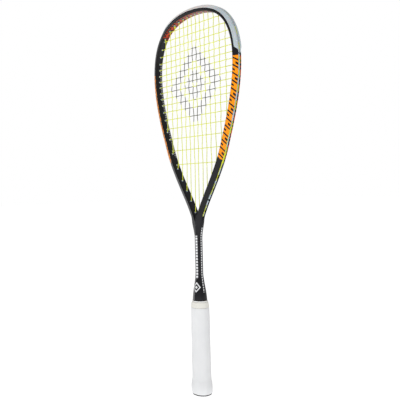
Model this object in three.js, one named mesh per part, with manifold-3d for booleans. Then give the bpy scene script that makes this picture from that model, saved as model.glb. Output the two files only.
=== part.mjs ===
// Squash racket: a carbon teardrop frame with a string bed, grommets, a bumper guard and a padded handle.
// Millimetres. +Z runs from the butt to the head, the string plane is XZ and the front faces -Y.
// The origin is the middle of the butt's flat end.

import * as THREE from 'three';
import { mergeVertices } from 'three/addons/utils/BufferGeometryUtils.js';
import Module from 'manifold-3d';

const wasm = await Module();
wasm.setup();

// ---------------------------------------------------------------- driving dimensions

const LENGTH = 685.8; // butt to the top of the bumper guard
const HALF_HEAD = 102.2; // middle of the racket to the middle of the limb, at the widest
const WIDEST_Z = 579; // height of the widest place
const SHOULDER = { x: 72.6, z: 444.6 }; // where the straight leg turns into the head's curve
const THROAT_Z = 295; // where the limbs disappear into the shaft
const GAP = 0.3; // clearance between touching pieces

const LIMB_WIDTH = 10; // limb section, in the string plane
const INNER_DEPTH = 16.6; // limb section's inner face, front to back
const OUTER_DEPTH = 8.2; // limb section's outer face, front to back
const GROOVE_WIDTH = 5.5; // string groove in the outer face
const GROOVE_DEPTH = 2.6;

const MAINS = 14;
const CROSSES = 18;
const STRING_RADIUS = 0.6;
const LANE = 0.75; // main strings lie this far in front of the string plane, cross strings behind
const TAIL_LANE = 2; // the main string's tails pass the last loops this far in front
const TIP = 0.8; // how far a grommet barrel stands out of the limb's inner face

const HANDLE_TOP = 168.1; // where the shaft's cone meets the handle
const HANDLE_FLATNESS = 0.85; // handle depth over handle width
const SHAFT_RADIUS = 7.1;
const CONE_RADIUS = 13.4;

// ---------------------------------------------------------------- materials

const paint = (name, color, roughness, metalness = 0) =>
  new THREE.MeshStandardMaterial({ name, color, roughness, metalness });

const LACQUER = { color: 0x232326, roughness: 0.22 };
const BUMPER_GREY = { color: 0xa5b4be, roughness: 0.4 };
const GROMMET_WHITE = { color: 0xdfe6ea, roughness: 0.45 };
const STRING_LIME = { color: 0xc6e03c, roughness: 0.35 };
const GRIP_WHITE = { color: 0xe6e9ee, roughness: 0.55 };
const COLLAR_CREAM = { color: 0xe1e1d7, roughness: 0.7 };
const CAP_BLACK = { color: 0x1c1c1e, roughness: 0.5 };
const FOAM_TAN = { color: 0xb9a37c, roughness: 0.9 };

const racket = new THREE.Group();

function addPart(name, geometry, look) {
  const mesh = new THREE.Mesh(geometry, paint(name, look.color, look.roughness, look.metalness));
  mesh.name = name;
  racket.add(mesh);
}

// ---------------------------------------------------------------- solids

function toSolid(geometry) {
  const plain = geometry.clone();
  plain.deleteAttribute('normal');
  plain.deleteAttribute('uv');
  const welded = mergeVertices(plain, 1e-4);
  const vertProperties = new Float32Array(welded.attributes.position.array);
  const triVerts = new Uint32Array(welded.index.array);
  return new wasm.Manifold(new wasm.Mesh({ numProp: 3, vertProperties, triVerts }));
}

function toGeometry(solid) {
  const mesh = solid.getMesh();
  const geometry = new THREE.BufferGeometry();
  geometry.setAttribute('position', new THREE.BufferAttribute(new Float32Array(mesh.vertProperties), 3));
  geometry.setIndex(new THREE.BufferAttribute(new Uint32Array(mesh.triVerts), 1));
  geometry.computeVertexNormals();
  return geometry;
}

const joined = (solids) => solids.reduce((sum, solid) => sum.add(solid));

const without = (solid, cutters) => cutters.reduce((left, cutter) => left.subtract(cutter), solid);

// A curve through fixed points, which a sweep takes one by one.
class Route extends THREE.Curve {
  constructor(points) {
    super();
    this.points = points;
  }

  indexAt(t) {
    return Math.round(t * (this.points.length - 1));
  }

  getPoint(t) {
    return this.points[this.indexAt(t)].clone();
  }

  getPointAt(t) {
    return this.getPoint(t);
  }

  getTangentAt(t) {
    const last = this.points.length - 1;
    const index = this.indexAt(t);
    const here = this.points[index];
    const arriving = here.clone().sub(this.points[Math.max(index - 1, 0)]).normalize();
    const leaving = this.points[Math.min(index + 1, last)].clone().sub(here).normalize();
    return arriving.add(leaving).normalize();
  }
}

// Sweeps a section along points in the XZ plane. The section's x runs to the front, its y outward.
function sweep(sectionPoints, points) {
  const shape = new THREE.Shape(sectionPoints.map(([x, y]) => new THREE.Vector2(x, y)));
  return toSolid(
    new THREE.ExtrudeGeometry(shape, { steps: points.length - 1, extrudePath: new Route(points) })
  );
}

// A rod from one point to another.
function rod(from, to, radius, sides = 6) {
  const axis = to.clone().sub(from);
  const geometry = new THREE.CylinderGeometry(radius, radius, axis.length(), sides);
  const upright = new THREE.Vector3(0, 1, 0);
  geometry.applyQuaternion(new THREE.Quaternion().setFromUnitVectors(upright, axis.clone().normalize()));
  const middle = from.clone().add(to).multiplyScalar(0.5);
  geometry.translate(middle.x, middle.y, middle.z);
  return toSolid(geometry);
}

// ---------------------------------------------------------------- the hoop's line

const BUMPER_RISE = LIMB_WIDTH / 2 + 1.1; // limb centre line to the top of the bumper guard
const TOP_Z = LENGTH - BUMPER_RISE;

const rightHalf = new THREE.Path();
rightHalf.moveTo(3.5, THROAT_Z);
rightHalf.bezierCurveTo(3.5, THROAT_Z + 35, SHOULDER.x - 19, SHOULDER.z - 62, SHOULDER.x, SHOULDER.z);
rightHalf.bezierCurveTo(SHOULDER.x + 8.5, SHOULDER.z + 26, HALF_HEAD, WIDEST_Z - 53, HALF_HEAD, WIDEST_Z);
rightHalf.bezierCurveTo(HALF_HEAD, WIDEST_Z + 60.5, 74, TOP_Z, 0, TOP_Z);

const FINE = 600;

// Places along the right half, from the throat to the top: a point and the outward direction there.
const places = rightHalf.getSpacedPoints(FINE).map((point, index, all) => {
  const before = all[Math.max(index - 1, 0)];
  const after = all[Math.min(index + 1, FINE)];
  const along = after.clone().sub(before).normalize();
  return { point, outward: new THREE.Vector2(along.y, -along.x) };
});

// A point beside the limb's centre line. rise is outward, depth is towards the back, side is 1 or -1.
function beside(index, rise, depth, side) {
  const { point, outward } = places[index];
  return new THREE.Vector3(side * (point.x + outward.x * rise), depth, point.y + outward.y * rise);
}

// Points along the limb on one side, from one place to another, about every `spacing` mm.
function limbLine(from, to, rise, depth, side, spacing) {
  const length = (Math.abs(to - from) / FINE) * rightHalf.getLength();
  const count = Math.max(1, Math.round(length / spacing));
  const line = [];
  for (let step = 0; step <= count; step += 1) {
    const index = Math.round(THREE.MathUtils.lerp(from, to, step / count));
    line.push(beside(index, rise, depth, side));
  }
  return line;
}

// The centre line of a stretch of limb, in the direction that keeps a swept section's y outward.
function limbAxis(from, to, side, spacing) {
  const line = limbLine(from, to, 0, 0, side, spacing);
  return side > 0 ? line : line.reverse();
}

// The centre line over the top of the hoop, from a place on the right limb to one on the left.
function overTop(right, left, spacing) {
  return [...limbAxis(right, FINE, 1, spacing), ...limbAxis(left, FINE, -1, spacing).slice(1)];
}

// ---------------------------------------------------------------- strings and their sockets

// Main strings sit closer together in the middle of the head.
function mainX(number) {
  const fromMiddle = Math.abs(number - (MAINS + 1) / 2) - 0.5;
  let x = 4.95;
  for (let step = 1; step <= fromMiddle; step += 1) {
    x += 10.3 + 0.1 * step * step;
  }
  return number > MAINS / 2 ? x : -x;
}

// Cross strings sit closest just above the middle of the string bed.
function crossZ(number) {
  let z = 657.6;
  for (let above = 1; above < number; above += 1) {
    const spread = (8.5 - above) ** 2;
    z -= 10.8 + (above < 8.5 ? 0.07 : 0.207) * spread;
  }
  return z;
}

const DRILL = 0.5; // how much a hole leans from square to the limb towards its string
const FLOOR = LIMB_WIDTH / 2 - GROOVE_DEPTH; // centre line to the groove's floor
const STRIP_TOP = FLOOR + GAP + 0.7; // centre line to the top of a grommet strip
const LOOP_RISE = STRIP_TOP + GAP + STRING_RADIUS; // centre line to a string lying on the strip

// The hole through the limb at one end of a string. `along` is the string's own direction there.
function socketAt(index, along, side, lane) {
  const { point, outward } = places[index];
  const drill = outward.clone().addScaledVector(along, DRILL).normalize();
  const lean = drill.dot(outward);
  const place = (rise) => {
    const spot = point.clone().addScaledVector(drill, rise);
    return new THREE.Vector3(side * spot.x, lane, spot.y);
  };
  const inside = -LIMB_WIDTH / 2 / lean;
  return {
    index,
    side,
    lane,
    bend: place(inside - TIP - 0.9),
    tip: place(inside - TIP),
    inside: place(inside - 3),
    seat: place((STRIP_TOP - 0.2) / lean),
    outside: place(LOOP_RISE / lean),
    beyond: place((LIMB_WIDTH / 2 + 4) / lean),
  };
}

// Finds the socket whose bend lies at a given x or z, among the places between two indices.
function findSocket(axis, value, along, side, lane, first, last) {
  let best = null;
  let bestMiss = Infinity;
  for (let index = first; index <= last; index += 1) {
    const socket = socketAt(index, along, side, lane);
    const miss = Math.abs(Math.abs(socket.bend[axis]) - value);
    if (miss < bestMiss) {
      best = socket;
      bestMiss = miss;
    }
  }
  best.bend[axis] = Math.sign(best.bend[axis]) * value;
  return best;
}

const placeAbove = (z) => places.findIndex(({ point }) => point.y >= z);

const widest = placeAbove(WIDEST_Z);
const UP = new THREE.Vector2(0, 1);
const DOWN = new THREE.Vector2(0, -1);
const OUT = new THREE.Vector2(1, 0);

const mains = [];
for (let number = 1; number <= MAINS; number += 1) {
  const x = mainX(number);
  const side = Math.sign(x);
  mains.push({
    number,
    top: findSocket('x', Math.abs(x), UP, side, -LANE, widest, FINE),
    bottom: findSocket('x', Math.abs(x), DOWN, side, -LANE, 0, widest),
  });
}

const crosses = [];
for (let number = 1; number <= CROSSES; number += 1) {
  const z = crossZ(number);
  crosses.push({
    number,
    left: findSocket('z', z, OUT, -1, LANE, 0, FINE),
    right: findSocket('z', z, OUT, 1, LANE, 0, FINE),
  });
}

// The cross string's first end is tied off through this main string's top hole.
const anchor = mains[2].top;
anchor.wide = true;

// ---------------------------------------------------------------- string routes

// Rounds every corner of a line.
function rounded(line, setback) {
  const result = [line[0]];
  for (let index = 1; index < line.length - 1; index += 1) {
    const corner = line[index];
    const back = line[index - 1].clone().sub(corner);
    const forward = line[index + 1].clone().sub(corner);
    const turn = Math.PI - back.angleTo(forward);
    if (turn < 0.2) {
      result.push(corner);
      continue;
    }
    const start = corner.clone().addScaledVector(back.normalize(), setback);
    const end = corner.clone().addScaledVector(forward.normalize(), setback);
    const pieces = Math.max(2, Math.ceil(turn / 0.8));
    result.push(...new THREE.QuadraticBezierCurve3(start, corner, end).getPoints(pieces));
  }
  result.push(line[line.length - 1]);
  return result;
}

// The stretch of groove between two sockets, without the places closest to them.
function grooveBetween(from, to) {
  const step = Math.sign(to.index - from.index) * 5;
  const spacing = 14;
  if (Math.abs(to.index - from.index) < 14) {
    return [];
  }
  return limbLine(from.index + step, to.index - step, LOOP_RISE, from.lane, from.side, spacing);
}

// Two sockets on different sides of the middle: the loop crosses the top of the hoop.
function grooveOverTop(from, to) {
  const rise = grooveBetween(from, { index: FINE + 5 });
  const fall = grooveBetween(to, { index: FINE + 5 }).reverse();
  return [...rise, ...fall.slice(1)];
}

function loop(from, to) {
  const middle = from.side === to.side ? grooveBetween(from, to) : grooveOverTop(from, to);
  return [from.bend, from.outside, ...middle, to.outside, to.bend];
}

// The main string's end: down the groove from its last hole, beside the loop that ends at `passed`,
// and then on towards `last`.
function mainTail(socket, passed, last) {
  const above = { ...socket, lane: -TAIL_LANE };
  const below = { ...passed, index: passed.index - 12, lane: -LANE };
  return [socket.bend, socket.outside, ...grooveBetween(above, below), ...grooveBetween(below, last)];
}

function mainRoute() {
  const bottoms = mains.map(({ bottom }) => bottom);
  const line = mainTail(bottoms[0], bottoms[2], bottoms[3]).reverse();
  for (let index = 0; index < MAINS - 1; index += 1) {
    const end = index % 2 === 0 ? 'top' : 'bottom';
    line.push(...loop(mains[index][end], mains[index + 1][end]));
  }
  line.push(...mainTail(bottoms[MAINS - 1], bottoms[MAINS - 3], bottoms[MAINS - 4]));
  return line;
}

function crossRoute() {
  const knotEnd = { ...anchor, lane: LANE };
  const shifted = (point) => point.clone().setY(LANE);
  const first = crosses[0].left;
  const last = crosses[CROSSES - 1].left;
  const line = [shifted(anchor.bend), shifted(anchor.outside)];
  line.push(...grooveBetween(knotEnd, first), first.outside, first.bend);
  for (let index = 0; index < CROSSES - 1; index += 1) {
    const end = index % 2 === 0 ? 'right' : 'left';
    line.push(...loop(crosses[index][end], crosses[index + 1][end]));
  }
  line.push(last.bend, last.outside, ...grooveBetween(last, { index: last.index - 20 }));
  return line;
}

const STRING_SECTION = [0, 1, 2, 3, 4, 5].map((corner) => {
  const angle = (corner * Math.PI) / 3;
  return [STRING_RADIUS * Math.cos(angle), STRING_RADIUS * Math.sin(angle)];
});

// Drops repeated points, which a sweep can't turn at.
function distinct(line) {
  return line.filter((point, index) => index === 0 || point.distanceTo(line[index - 1]) > 0.05);
}

function stringAlong(line) {
  return sweep(STRING_SECTION, distinct(rounded(distinct(line), 1.7)));
}

function tieOffKnot() {
  const geometry = new THREE.SphereGeometry(1.6, 8, 6);
  geometry.translate(anchor.bend.x, LANE + 1.1, anchor.bend.z - 0.9);
  return toSolid(geometry);
}

const mainString = stringAlong(mainRoute());
const crossString = stringAlong(crossRoute()).add(tieOffKnot());
addPart('main_string', toGeometry(mainString), STRING_LIME);
addPart('cross_string', toGeometry(crossString), STRING_LIME);

// ---------------------------------------------------------------- frame

const LIMB_SECTION = [
  [INNER_DEPTH / 2, -LIMB_WIDTH / 2 + 1.4],
  [OUTER_DEPTH / 2 + 0.4, LIMB_WIDTH / 2 - 0.9],
  [OUTER_DEPTH / 2 - 0.3, LIMB_WIDTH / 2],
  [GROOVE_WIDTH / 2, LIMB_WIDTH / 2],
  [GROOVE_WIDTH / 2, FLOOR],
];

// Completes a half section with its mirror image, so that it closes on itself.
function bothHalves(half) {
  const mirrored = half.map(([x, y]) => [-x, y]).reverse();
  return [...half, ...mirrored];
}

const INNER_EDGE = [
  [INNER_DEPTH / 2 - 3.2, -LIMB_WIDTH / 2],
  [INNER_DEPTH / 2 - 0.9, -LIMB_WIDTH / 2 + 0.3],
];

function hoop() {
  return sweep(bothHalves([...INNER_EDGE, ...LIMB_SECTION]), overTop(0, 0, 13));
}

const SHAFT_BOTTOM = 12;
const SHAFT_TOP = 314;

// Half width and half depth of the shaft at a height.
function shaftSize(z) {
  if (z < HANDLE_TOP) {
    return [SHAFT_RADIUS, SHAFT_RADIUS];
  }
  const cone = (CONE_RADIUS - SHAFT_RADIUS) * (1 - THREE.MathUtils.smoothstep(z, HANDLE_TOP - 2, 220));
  const throat = 7.8 * THREE.MathUtils.smoothstep(z, 278, SHAFT_TOP + 4);
  return [SHAFT_RADIUS + cone + throat, SHAFT_RADIUS + cone + throat * 0.12];
}

function shaft() {
  const heights = [SHAFT_BOTTOM, HANDLE_TOP - 0.01, HANDLE_TOP];
  for (let z = 173; z <= 221; z += 8) {
    heights.push(z);
  }
  for (let z = 275; z < SHAFT_TOP; z += 8) {
    heights.push(z);
  }
  heights.push(SHAFT_TOP);
  const geometry = new THREE.CylinderGeometry(1, 1, heights.length - 1, 20, heights.length - 1);
  geometry.rotateX(Math.PI / 2);
  const position = geometry.attributes.position;
  for (let vertex = 0; vertex < position.count; vertex += 1) {
    const level = Math.round(position.getZ(vertex) + (heights.length - 1) / 2);
    const z = heights[level];
    const [halfWidth, halfDepth] = shaftSize(z);
    position.setXYZ(vertex, position.getX(vertex) * halfWidth, position.getY(vertex) * halfDepth, z);
  }
  return toSolid(geometry);
}

// The tube's hollow, open at the butt end.
function shaftBore() {
  return rod(new THREE.Vector3(0, 0, SHAFT_BOTTOM - 1), new THREE.Vector3(0, 0, 285), 4.6, 12);
}

const sockets = [
  ...mains.flatMap(({ top, bottom }) => [top, bottom]),
  ...crosses.flatMap(({ left, right }) => [left, right]),
];

// Radii of a grommet's bore, its barrel and the hole in the limb around it.
function fit(socket) {
  return socket.wide
    ? { bore: 1.95, barrel: 2.35, hole: 2.95, lane: 0 }
    : { bore: 1.05, barrel: 1.5, hole: 2.1, lane: socket.lane };
}

const inLane = (point, lane) => point.clone().setY(lane);

function holeThrough(socket) {
  const { hole, lane } = fit(socket);
  return rod(inLane(socket.inside, lane), inLane(socket.beyond, lane), hole);
}

const frame = without(joined([hoop(), shaft()]), [shaftBore(), ...sockets.map(holeThrough)]);
addPart('frame', toGeometry(frame), LACQUER);

// ---------------------------------------------------------------- grommets and bumper guard

const STRIP_SECTION = [
  [-GROOVE_WIDTH / 2 + 0.4, FLOOR + GAP],
  [GROOVE_WIDTH / 2 - 0.4, FLOOR + GAP],
  [GROOVE_WIDTH / 2 - 0.4, STRIP_TOP],
  [-GROOVE_WIDTH / 2 + 0.4, STRIP_TOP],
];

const BUMPER_SECTION = bothHalves([
  [GROOVE_WIDTH / 2 - 0.3, FLOOR + GAP],
  [GROOVE_WIDTH / 2 - 0.3, LIMB_WIDTH / 2 + GAP],
  [OUTER_DEPTH / 2 + 0.1, LIMB_WIDTH / 2 + GAP],
  [OUTER_DEPTH / 2 + 0.9, LIMB_WIDTH / 2 - 0.9],
  [OUTER_DEPTH / 2 + 3.1, -0.1],
  [OUTER_DEPTH / 2 + 3.8, 0.3],
  [OUTER_DEPTH / 2 + 1.2, LIMB_WIDTH / 2 + 0.6],
  [OUTER_DEPTH / 2 - 0.2, BUMPER_RISE],
  [GROOVE_WIDTH / 2 - 1, BUMPER_RISE],
  [GROOVE_WIDTH / 2 - 1, STRIP_TOP],
]);

// Past its wings the bumper guard goes on as a tongue that stays inside the groove.
const TONGUE_SECTION = bothHalves([
  [GROOVE_WIDTH / 2 - 0.3, FLOOR + GAP],
  [GROOVE_WIDTH / 2 - 0.3, LIMB_WIDTH / 2 + GAP],
  [GROOVE_WIDTH / 2 - 1, LIMB_WIDTH / 2 + GAP],
  [GROOVE_WIDTH / 2 - 1, STRIP_TOP],
]);

const RIGHT_WING_END = placeAbove(596);
const LEFT_WING_END = placeAbove(655);
const BUMPER_END = placeAbove(587);
const STRIP_END = placeAbove(405);
const GROOVE_END = placeAbove(319);

function withBarrels(body, own) {
  const barrels = own.map((socket) => {
    const { barrel, lane } = fit(socket);
    return rod(inLane(socket.tip, lane), inLane(socket.seat, lane), barrel);
  });
  const bores = own.map((socket) => {
    const { bore, lane } = fit(socket);
    return rod(inLane(socket.inside, lane), inLane(socket.beyond, lane), bore);
  });
  return without(joined([body, ...barrels]), bores);
}

function bumperGuard() {
  const wings = sweep(BUMPER_SECTION, overTop(RIGHT_WING_END, LEFT_WING_END, 11));
  const right = sweep(TONGUE_SECTION, limbAxis(BUMPER_END, RIGHT_WING_END + 2, 1, 11));
  const left = sweep(TONGUE_SECTION, limbAxis(BUMPER_END, LEFT_WING_END + 2, -1, 11));
  return withBarrels(joined([wings, right, left]), sockets.filter(({ index }) => index > BUMPER_END));
}

function grommetStrip(side) {
  const body = sweep(STRIP_SECTION, limbAxis(STRIP_END, BUMPER_END - 2, side, 14));
  const within = ({ index }) => index > STRIP_END && index < BUMPER_END;
  return withBarrels(body, sockets.filter((socket) => socket.side === side && within(socket)));
}

function throatGrommet(socket) {
  const lower = Math.max(socket.index - 14, GROOVE_END);
  const upper = Math.min(socket.index + 9, STRIP_END - 3);
  const body = sweep(STRIP_SECTION, limbAxis(lower, upper, socket.side, 5));
  return withBarrels(body, [socket]);
}

addPart('bumper_guard', toGeometry(bumperGuard()), BUMPER_GREY);
addPart('grommet_strip_left', toGeometry(grommetStrip(-1)), GROMMET_WHITE);
addPart('grommet_strip_right', toGeometry(grommetStrip(1)), GROMMET_WHITE);

mains
  .map(({ bottom }) => bottom)
  .filter(({ index }) => index < STRIP_END)
  .forEach((socket, order) => {
    addPart(`throat_grommet_${order + 1}`, toGeometry(throatGrommet(socket)), GROMMET_WHITE);
  });

// ---------------------------------------------------------------- handle

// An eight-sided ring or plug. The profile holds [half width, height] pairs, and the depth follows.
function octagonal(profile) {
  const corner = 1 / Math.cos(Math.PI / 8);
  const points = profile.map(([halfWidth, z]) => new THREE.Vector2(halfWidth * corner, z));
  const geometry = new THREE.LatheGeometry(points, 8, Math.PI / 8);
  geometry.rotateX(Math.PI / 2);
  geometry.scale(1, HANDLE_FLATNESS, 1);
  return toSolid(geometry);
}

const CAP_TOP = 27;
const PALLET_HALF = 16;
const GRIP_TOP = HANDLE_TOP - 12.7;
const COLLAR_TOP = HANDLE_TOP - 2.3;

function handlePallet() {
  const blank = octagonal([
    [0, 3.5],
    [PALLET_HALF - 1.6, 3.5],
    [PALLET_HALF - 1.6, CAP_TOP + GAP],
    [PALLET_HALF, CAP_TOP + GAP],
    [PALLET_HALF, GRIP_TOP - 3.7],
    [PALLET_HALF - 2, GRIP_TOP + 6.3],
    [PALLET_HALF - 2.4, HANDLE_TOP - GAP],
    [0, HANDLE_TOP - GAP],
  ]);
  const foot = new THREE.Vector3(0, 0, SHAFT_BOTTOM - 0.5);
  return blank.subtract(rod(foot, new THREE.Vector3(0, 0, HANDLE_TOP + 30), SHAFT_RADIUS + GAP, 20));
}

function buttCap() {
  return octagonal([
    [0, 0],
    [17.8, 0],
    [18.8, 0.7],
    [18.8, 1.5],
    [17.8, 2],
    [18.9, 10],
    [18.6, 16],
    [16.3, CAP_TOP],
    [PALLET_HALF - 1.3, CAP_TOP],
    [PALLET_HALF - 1.3, 3.2],
    [0, 3.2],
  ]);
}

function grip() {
  return octagonal([
    [18.2, 2.2],
    [19.2, 2.2],
    [19.9, 4.5],
    [20.7, 10],
    [20.6, 15.5],
    [19.4, 23.5],
    [18.3, 30.5],
    [18.4, 60],
    [18, 98],
    [18.1, 130],
    [17.6, GRIP_TOP - 4.7],
    [17.3, GRIP_TOP],
    [PALLET_HALF - 0.35, GRIP_TOP],
    [PALLET_HALF + GAP, GRIP_TOP - 3.9],
    [PALLET_HALF + GAP, CAP_TOP + 3],
    [16.7, CAP_TOP + 0.2],
    [18.9, 16.4],
    [19.2, 10],
    [18.2, 2.2],
  ]);
}

function gripCollar() {
  return octagonal([
    [PALLET_HALF - 0.4, GRIP_TOP + GAP],
    [17.2, GRIP_TOP + GAP],
    [17.6, GRIP_TOP + 1.3],
    [16.1, COLLAR_TOP - 1.2],
    [15.3, COLLAR_TOP],
    [PALLET_HALF - 1.9, COLLAR_TOP],
    [PALLET_HALF - 1.7, GRIP_TOP + 6.5],
    [PALLET_HALF - 0.4, GRIP_TOP + GAP],
  ]);
}

function finishingTape() {
  return octagonal([
    [PALLET_HALF - 2, COLLAR_TOP + GAP],
    [15.1, COLLAR_TOP + GAP],
    [14.8, HANDLE_TOP - GAP],
    [PALLET_HALF - 2.1, HANDLE_TOP - GAP],
    [PALLET_HALF - 2, COLLAR_TOP + GAP],
  ]);
}

addPart('handle_pallet', toGeometry(handlePallet()), FOAM_TAN);
addPart('butt_cap', toGeometry(buttCap()), CAP_BLACK);
addPart('grip', toGeometry(grip()), GRIP_WHITE);
addPart('grip_collar', toGeometry(gripCollar()), COLLAR_CREAM);
addPart('finishing_tape', toGeometry(finishingTape()), GRIP_WHITE);

export default racket;
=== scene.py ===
# A squash racket standing on its butt: lacquered carbon frame, bumper guard, grommets, woven lime strings
# and a white grip. Shapes are worked out in millimetres in the CAD frame: +Z up, front towards -Y.

import math

import bmesh
import bpy
import numpy as np
from mathutils import Matrix, Vector, noise


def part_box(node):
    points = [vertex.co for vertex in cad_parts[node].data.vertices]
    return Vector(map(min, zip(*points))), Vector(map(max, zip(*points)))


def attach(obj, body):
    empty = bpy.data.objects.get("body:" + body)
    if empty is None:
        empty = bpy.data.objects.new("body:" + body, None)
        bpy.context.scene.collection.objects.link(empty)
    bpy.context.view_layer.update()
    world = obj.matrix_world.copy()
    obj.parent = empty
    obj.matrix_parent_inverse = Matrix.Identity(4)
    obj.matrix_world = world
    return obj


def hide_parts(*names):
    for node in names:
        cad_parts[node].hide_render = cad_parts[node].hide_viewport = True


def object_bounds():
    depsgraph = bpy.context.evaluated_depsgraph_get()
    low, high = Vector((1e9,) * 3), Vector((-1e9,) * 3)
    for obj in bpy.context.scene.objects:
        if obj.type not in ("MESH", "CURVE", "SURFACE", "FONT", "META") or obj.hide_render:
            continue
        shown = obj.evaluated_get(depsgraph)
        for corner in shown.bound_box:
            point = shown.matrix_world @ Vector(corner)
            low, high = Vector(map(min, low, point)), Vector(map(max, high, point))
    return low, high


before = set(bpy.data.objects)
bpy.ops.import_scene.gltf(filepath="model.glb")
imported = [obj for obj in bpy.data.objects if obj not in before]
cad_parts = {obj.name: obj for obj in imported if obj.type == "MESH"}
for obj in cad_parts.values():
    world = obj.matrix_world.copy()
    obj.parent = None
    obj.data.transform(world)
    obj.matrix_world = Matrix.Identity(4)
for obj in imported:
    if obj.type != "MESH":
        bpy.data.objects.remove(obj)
cad_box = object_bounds()

MM = 0.001


def top_of(node):
    """A CAD node's highest point in millimetres."""
    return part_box(node)[1].z / MM


def bottom_of(node):
    """A CAD node's lowest point in millimetres."""
    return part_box(node)[0].z / MM


# ---------------------------------------------------------------- driving dimensions

LENGTH = cad_box[1].z / MM
HALF_HEAD = 102.2
WIDEST_Z = 579
SHOULDER_X, SHOULDER_Z = 72.6, 444.6
THROAT_Z = 295
GAP = 0.3

LIMB_WIDTH = 10
INNER_DEPTH = 16.6
OUTER_DEPTH = 8.2
GROOVE_WIDTH = 5.5
GROOVE_DEPTH = 2.6
BUMPER_RISE = LIMB_WIDTH / 2 + 1.1
TOP_Z = LENGTH - BUMPER_RISE

MAINS = 14
CROSSES = 18
STRING_RADIUS = 0.6
LANE = 0.75
TAIL_LANE = 2
TIP = 0.8
DRILL = 0.5

HANDLE_TOP = top_of("handle_pallet") + GAP
HANDLE_FLATNESS = 0.85
SHAFT_RADIUS = 7.1
CONE_RADIUS = 13.4
THROAT_FLARE = 7.8
SHAFT_BOTTOM = bottom_of("frame")
SHAFT_TOP = 314
CROTCH_Z = 311
PALLET_HALF = 16

FLOOR = LIMB_WIDTH / 2 - GROOVE_DEPTH
STRIP_TOP = FLOOR + GAP + 0.7
LOOP_RISE = STRIP_TOP + GAP + STRING_RADIUS

# ---------------------------------------------------------------- points and skins


def smoothstep(value, low, high):
    """0 below low, 1 above high, and an S between them."""
    share = np.clip((np.asarray(value, float) - low) / (high - low), 0, 1)
    return share * share * (3 - 2 * share)


def unit(vector):
    return vector / np.linalg.norm(vector)


def rounded(line, setback, pieces, least_turn=0.0, closed=False):
    """A line with its corners rounded off. Corners that turn by less than least_turn stay as they are."""
    line = [np.asarray(point, float) for point in line]
    count = len(line)
    result = [] if closed else [line[0]]
    for index in range(0 if closed else 1, count if closed else count - 1):
        corner = line[index]
        back = line[index - 1] - corner
        forward = line[(index + 1) % count] - corner
        if math.pi - math.acos(np.clip(unit(back) @ unit(forward), -1, 1)) < least_turn:
            result.append(corner)
            continue
        start = corner + unit(back) * min(setback, 0.45 * np.linalg.norm(back))
        end = corner + unit(forward) * min(setback, 0.45 * np.linalg.norm(forward))
        for step in range(pieces + 1):
            share = step / pieces
            result.append(start * (1 - share) ** 2 + corner * 2 * share * (1 - share) + end * share**2)
    if not closed:
        result.append(line[-1])
    return result


def through(points, pieces):
    """A smooth line through points."""
    points = [np.asarray(point, float) for point in points]
    padded = [2 * points[0] - points[1], *points, 2 * points[-1] - points[-2]]
    line = []
    for before, start, end, after in zip(padded, padded[1:], padded[2:], padded[3:]):
        for step in range(pieces):
            t = step / pieces
            line.append(
                start
                + (end - before) * t / 2
                + (before * 2 - start * 5 + end * 4 - after) * t**2 / 2
                + (start * 3 - before - end * 3 + after) * t**3 / 2
            )
    line.append(points[-1])
    return line


def skin(rings, caps=True, looped=False):
    """Points and faces of the surface through rings of equally many points."""
    rings = np.asarray(rings, float)
    rows, size = rings.shape[:2]
    faces = []
    for row in range(rows if looped else rows - 1):
        upper = ((row + 1) % rows) * size
        for column in range(size):
            following = (column + 1) % size
            faces.append((row * size + column, row * size + following, upper + following, upper + column))
    if caps and not looped:
        faces.append(tuple(range(size)))
        faces.append(tuple(range((rows - 1) * size, rows * size)))
    return rings.reshape(-1, 3), faces


def merged(parts):
    """Several surfaces' points and faces as one."""
    points, faces, count = [], [], 0
    for part_points, part_faces in parts:
        points.append(part_points)
        faces += [tuple(corner + count for corner in face) for face in part_faces]
        count += len(part_points)
    return np.concatenate(points), faces


def add_piece(name, surface, material, nodes, weld=None, values=None):
    """Makes one visible piece from points and faces in millimetres, which stands for CAD nodes."""
    points, faces = surface
    mesh = bpy.data.meshes.new(name)
    mesh.from_pydata([tuple(point) for point in points * MM], [], faces)
    for key, numbers in (values or {}).items():
        mesh.attributes.new(key, "FLOAT", "POINT").data.foreach_set("value", np.asarray(numbers, np.float32))
    work = bmesh.new()
    work.from_mesh(mesh)
    if weld:
        weld(work)
    bmesh.ops.recalc_face_normals(work, faces=work.faces)
    work.to_mesh(mesh)
    work.free()
    mesh.shade_smooth()
    piece = bpy.data.objects.new(name, mesh)
    bpy.context.scene.collection.objects.link(piece)
    piece.data.materials.append(material)
    piece.modifiers.new("facets", "WEIGHTED_NORMAL")
    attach(piece, "root")
    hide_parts(*nodes)
    return piece


# ---------------------------------------------------------------- the hoop's line

FINE = 600


def bezier(start, leave, arrive, end, pieces=400):
    t = np.linspace(0, 1, pieces + 1)[:, None]
    start, leave, arrive, end = (np.asarray(point, float) for point in (start, leave, arrive, end))
    return start * (1 - t) ** 3 + leave * 3 * t * (1 - t) ** 2 + arrive * 3 * t**2 * (1 - t) + end * t**3


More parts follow.
